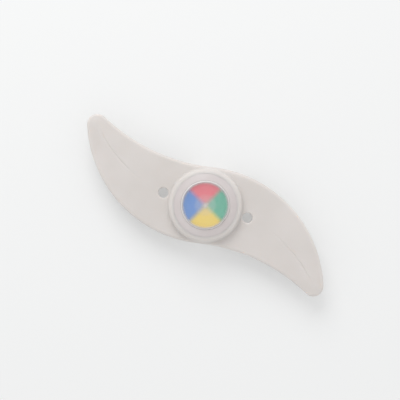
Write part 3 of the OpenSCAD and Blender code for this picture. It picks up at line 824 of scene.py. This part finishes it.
def softBody(material):
    arcs = planWings()
    hubR, level = socket["hubR"], wing["level"]
    loops, points = planPoints(arcs, hubR)
    edges, start, loopIds = [], 0, []
    for loop in loops:
        ids = list(range(start, start + len(loop)))
        edges += list(zip(ids, ids[1:] + ids[:1]))
        loopIds.append(ids)
        start += len(loop)
    plan = delaunay_2d_cdt([Vector(p) for p in points], edges, [], 1, tiny)
    flat = np.array([tuple(v) for v in plan[0]])
    fromInput = {source: i for i, sources in enumerate(plan[3]) for source in sources}
    triangles = openPlan(flat, plan[2], hubR)
    half = plateHalf(flat, arcs, hubR)
    count = len(flat)
    vertices = [(x, y, level + h) for (x, y), h in zip(flat, half)]
    vertices += [(x, y, level - h) for (x, y), h in zip(flat, half)]
    faces = triangles + [tuple(i + count for i in reversed(f)) for f in triangles]

    def addRing(ring):
        vertices.extend(ring)
        return list(range(len(vertices) - len(ring), len(vertices)))

    def wall(rings):
        for a, b in zip(rings, rings[1:]):
            faces.extend(bridge(a, b, len(a)))

    tops = [[fromInput[i] for i in ids] for ids in loopIds]
    bottoms = [[i + count for i in ids] for ids in tops]
    rim, inward = outlinePoints(arcs)
    inset = rim + wing["flash"] * inward
    line = wing["flashHalf"]
    parting = [addRing([(x, y, level + line) for x, y in inset])]
    parting.append(addRing([(x, y, level) for x, y in rim]))
    parting.append(addRing([(x, y, level - line) for x, y in inset]))
    wall([tops[0]] + parting + [bottoms[0]])
    for tie in (2, 3):
        wall([tops[tie], bottoms[tie]])
    rings = []
    for r, z in socketPath(hubR):
        rings.append(addRing([(x, y, z) for x, y in circle((0, 0), r, roundSteps)]))
    wall([tops[1]] + rings + [bottoms[1]])
    body = finishPiece(
        "softBody", vertices, faces, material, "light_body", "milky_elastomer", "wing_body"
    )
    cutLampRoom(body)
    print("soft body made,", len(body.data.polygons), "faces")


def cutLampRoom(body):  # four blind pockets in the socket's wall, one over each lamp
    work = bmesh.new()
    sides = lampRoom["sides"]
    section = polar(lampRoom["r"], np.linspace(0, 360, sides, endpoint=False)) + [0, wing["level"]]
    for degrees in lampRoom["angles"]:
        out = polar(1, degrees)
        side = polar(1, degrees + 90)
        ends = []
        for r in (lampRoom["from"], lampRoom["to"]):
            ring = [np.append(out * r + side * y, z) * mm for y, z in section]
            ends.append([work.verts.new(tuple(point)) for point in ring])
        for k in range(sides):
            n = (k + 1) % sides
            work.faces.new((ends[0][k], ends[0][n], ends[1][n], ends[1][k]))
        work.faces.new(ends[0][::-1])
        work.faces.new(ends[1])
    bmesh.ops.recalc_face_normals(work, faces=work.faces)
    mesh = bpy.data.meshes.new("lampRoom")
    work.to_mesh(mesh)
    work.free()
    cutter = bpy.data.objects.new("lampRoom", mesh)
    scene.collection.objects.link(cutter)
    cut = body.modifiers.new("lampRoom", "BOOLEAN")
    cut.operation = "DIFFERENCE"
    cut.solver = "EXACT"
    cut.object = cutter
    graph = bpy.context.evaluated_depsgraph_get()
    made = bpy.data.meshes.new_from_object(body.evaluated_get(graph))
    body.modifiers.remove(cut)
    body.data = made
    bpy.data.objects.remove(cutter)


# Front cap: frosted domed ring with a lip over the button and a skirt inside the socket
cap = {
    "lipR": 10.43,
    "lipRound": 0.12,
    "lipZ": 15.595,
    "cavityR": 11.9,
    "skirtR": 12.8,
    "seatZ": 13.995,
    "seatRound": 0.2,
    "edgeRound": 0.05,
    "innerRound": 0.1,  # hidden corners
    "outerRound": 0.15,
    "beadZ": 12.995,
    "bead": 0.25,
    "beadFoot": 0.05,
    "crownRows": 8,
    "crownInset": (0.4, 0.6),  # from the outer edge and from the lip
    "arcSteps": 10,
}


def frontCap(material):
    low, high = cadReach("front_cap")
    foot, rimR = low[2], high[0]
    inner, outer = cap["innerRound"], cap["outerRound"]
    corners = [
        (cap["lipR"], crownZ(cap["lipR"]), cap["lipRound"]),
        (cap["lipR"], cap["lipZ"], inner),
        (cap["cavityR"], cap["lipZ"], outer),
        (cap["cavityR"], foot, inner),
        (cap["skirtR"], foot, outer),
        (cap["skirtR"], cap["beadZ"] - cap["bead"], cap["beadFoot"]),
        (cap["skirtR"] + cap["bead"], cap["beadZ"], outer),
        (cap["skirtR"], cap["beadZ"] + cap["bead"], cap["beadFoot"]),
        (cap["skirtR"], cap["seatZ"], inner),
        (rimR, cap["seatZ"], cap["seatRound"]),
        (rimR, crownZ(rimR), cap["edgeRound"]),
    ]
    fromEdge, fromLip = cap["crownInset"]
    rows = np.linspace(rimR - fromEdge, cap["lipR"] + fromLip, cap["crownRows"])
    corners += [(row, crownZ(row), 0) for row in rows]
    vertices, faces = revolve(roundedPath(corners, True, cap["arcSteps"]), True)
    finishPiece("frontCap", vertices, faces, material, "light_body", "frosted_cap", "front_cap")
    print("front cap made")


# Push button: thin domed face over the disc, with a skirt and the collar that keeps it in
button = {
    "r": 10.4,
    "rimZ": 17.595,
    "rimRound": 0.7,
    "faceZ": 16.395,
    "boreR": 9.8,
    "boreRound": 0.2,
    "collarTop": 15.495,
    "innerRound": 0.1,  # hidden corners
    "outerRound": 0.15,
    "faceRows": 14,
    "faceInset": 0.8,
    "arcSteps": 8,
}


def pushButton(material):
    low, high = cadReach("push_button")
    foot, collarR, top = low[2], high[0], high[2]
    inner, outer = button["innerRound"], button["outerRound"]
    ball = ballRadius(button["r"], top - button["rimZ"])
    rows = np.linspace(0, button["r"] - button["faceInset"], button["faceRows"])
    corners = [(row, ballZ(top, ball, row), 0) for row in rows]
    corners += [
        (button["r"], button["rimZ"], button["rimRound"]),
        (button["r"], button["collarTop"], inner),
        (collarR, button["collarTop"], outer),
        (collarR, foot, outer),
        (button["boreR"], foot, inner),
        (button["boreR"], button["faceZ"], button["boreRound"]),
        (0, button["faceZ"], 0),
    ]
    vertices, faces = revolve(roundedPath(corners, False, button["arcSteps"]), False)
    finishPiece("pushButton", vertices, faces, material, "button", "frosted_button", "push_button")
    print("push button made")


# Seal: moulded ring in its seat under the cover, with the thin lines where its mould parts
seal = {
    "seam": 0.03,  # how far the lines stand out
    "squash": 0.02,
    "sides": 32,
}


def coverSeal(material):
    low, high = cadReach("cover_seal")
    half = (high[2] - low[2]) / 2
    middle = (low[2] + high[2]) / 2
    profile = []
    for k in range(seal["sides"]):
        a = 2 * math.pi * k / seal["sides"]
        seam = seal["seam"] if k % (seal["sides"] // 2) == 0 else 0
        reach = half - seal["seam"] + seam
        r = high[0] - half + reach * math.cos(a)
        profile.append((r, middle + (half - seal["squash"]) * math.sin(a)))
    vertices, faces = revolve(profile, True)
    finishPiece("coverSeal", vertices, faces, material, "light_body", "seal_rubber", "cover_seal")
    print("cover seal made")


# Snap dome: thin domed spring disc under the plunger, which flattens it
spring = {
    "thick": 0.08,
    "rings": 12,
    "sides": 72,
    "keep": 0.3,  # share of its height that is left when pressed
    "sharp": 60,  # degrees
}


def snapDome(material):
    low, high = cadReach("snap_dome")
    edge, top, rise = high[0], high[2], high[2] - low[2]
    thick, rings = spring["thick"], spring["rings"]
    ball = ballRadius(edge, rise)
    innerEdge = math.sqrt((ball - thick) ** 2 - (ball - rise) ** 2)
    profile = [(r, ballZ(top, ball, r)) for r in np.linspace(0, edge, rings)]
    profile += [(r, ballZ(top, ball, r, thick)) for r in np.linspace(innerEdge, 0, rings)]
    vertices, faces = revolve(profile, False, spring["sides"])
    piece = finishPiece(
        "snapDome", vertices, faces, material, "light_body", "cell_steel", "snap_dome",
        sharp=spring["sharp"],
    )
    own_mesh(piece)
    print("snap dome made")


# CAD nodes that stay: their meshes are welded, edges are eased and they take their own finish
easing = {
    "weld": 0.002,  # points closer than this are joined
    "easedWeld": 0.004,  # the same after the edges are eased
    "segments": 3,
    "angle": 40,  # degrees; flatter edges stay as they are
}


def weldMesh(piece, gap):
    weld = piece.modifiers.new("weld", "WELD")
    weld.merge_threshold = gap * mm


def easeEdges(piece, width):
    piece.data.polygons.foreach_set("use_smooth", [True] * len(piece.data.polygons))
    ease = piece.modifiers.new("ease", "BEVEL")
    ease.width = width * mm
    ease.segments = easing["segments"]
    ease.limit_method = "ANGLE"
    ease.angle_limit = math.radians(easing["angle"])
    ease.harden_normals = True
    ease.use_clamp_overlap = False
    weldMesh(piece, easing["easedWeld"])


def dressNode(node, material, ease):
    piece = frame["nodes"][node]
    weldMesh(piece, easing["weld"])
    if ease:
        easeEdges(piece, ease)
    piece.data.materials.clear()
    piece.data.materials.append(material)


right, up = placeCamera()
lightSky()
hangLamp(right, up)
layFloor()
print("studio lit")
softBody(mouldedMaterial("milkyElastomer", milkyElastomer))
frontCap(mouldedMaterial("frostedCap", frostedCap))
pushButton(veiledMaterial("frostedButton", frostedButton))
coverSeal(mouldedMaterial("sealRubber", sealRubber))
whitePlastic = mouldedMaterial("whiteAbs", whiteAbs)
blackNylon = mouldedMaterial("switchNylon", switchNylon)
brightTin, nickel, bronze, zinc = [metalMaterial(name) for name in metals]
blackChip, resistorChip, capacitorChip = [chipMaterial(name) for name in chips]
lampTones = {
    "red": ("#A80F14", "#CC2020"),
    "green": ("#0C7A34", "#179A47"),
    "yellow": ("#D59A12", "#EBB627"),
    "blue": ("#1230A8", "#2348CC"),
}
dress = {  # material, and the width of the eased edges
    "colour_disc": (quarteredMaterial("printedFilm", printedFilm), 0),
    "rear_case": (whitePlastic, 0.12),
    "battery_cover": (whitePlastic, 0.12),
    "rear_cell": (nickel, 0.12),
    "front_cell": (nickel, 0.12),
    "positive_clip": (bronze, 0.03),
    "negative_spring": (bronze, 0.03),
    "circuit_board": (boardMaterial("boardLaminate", boardLaminate), 0.04),
    "board_screws": (zinc, 0.04),
    "lamp_leads": (brightTin, 0),
    "driver_chip": (blackChip, 0.02),
    "chip_resistors": (resistorChip, 0.03),
    "chip_capacitor": (capacitorChip, 0.04),
    "switch_base": (blackNylon, 0.06),
    "switch_terminals": (brightTin, 0.02),
    "switch_cover": (nickel, 0.03),
    "switch_plunger": (blackNylon, 0.08),
}
for colour, tones in lampTones.items():
    dress[colour + "_lamp"] = (mouldedMaterial(colour + "Lens", {**tintedLens, "tones": tones}), 0.05)
for node, (material, ease) in dress.items():
    dressNode(node, material, ease)
snapDome(nickel)
print("CAD nodes dressed")
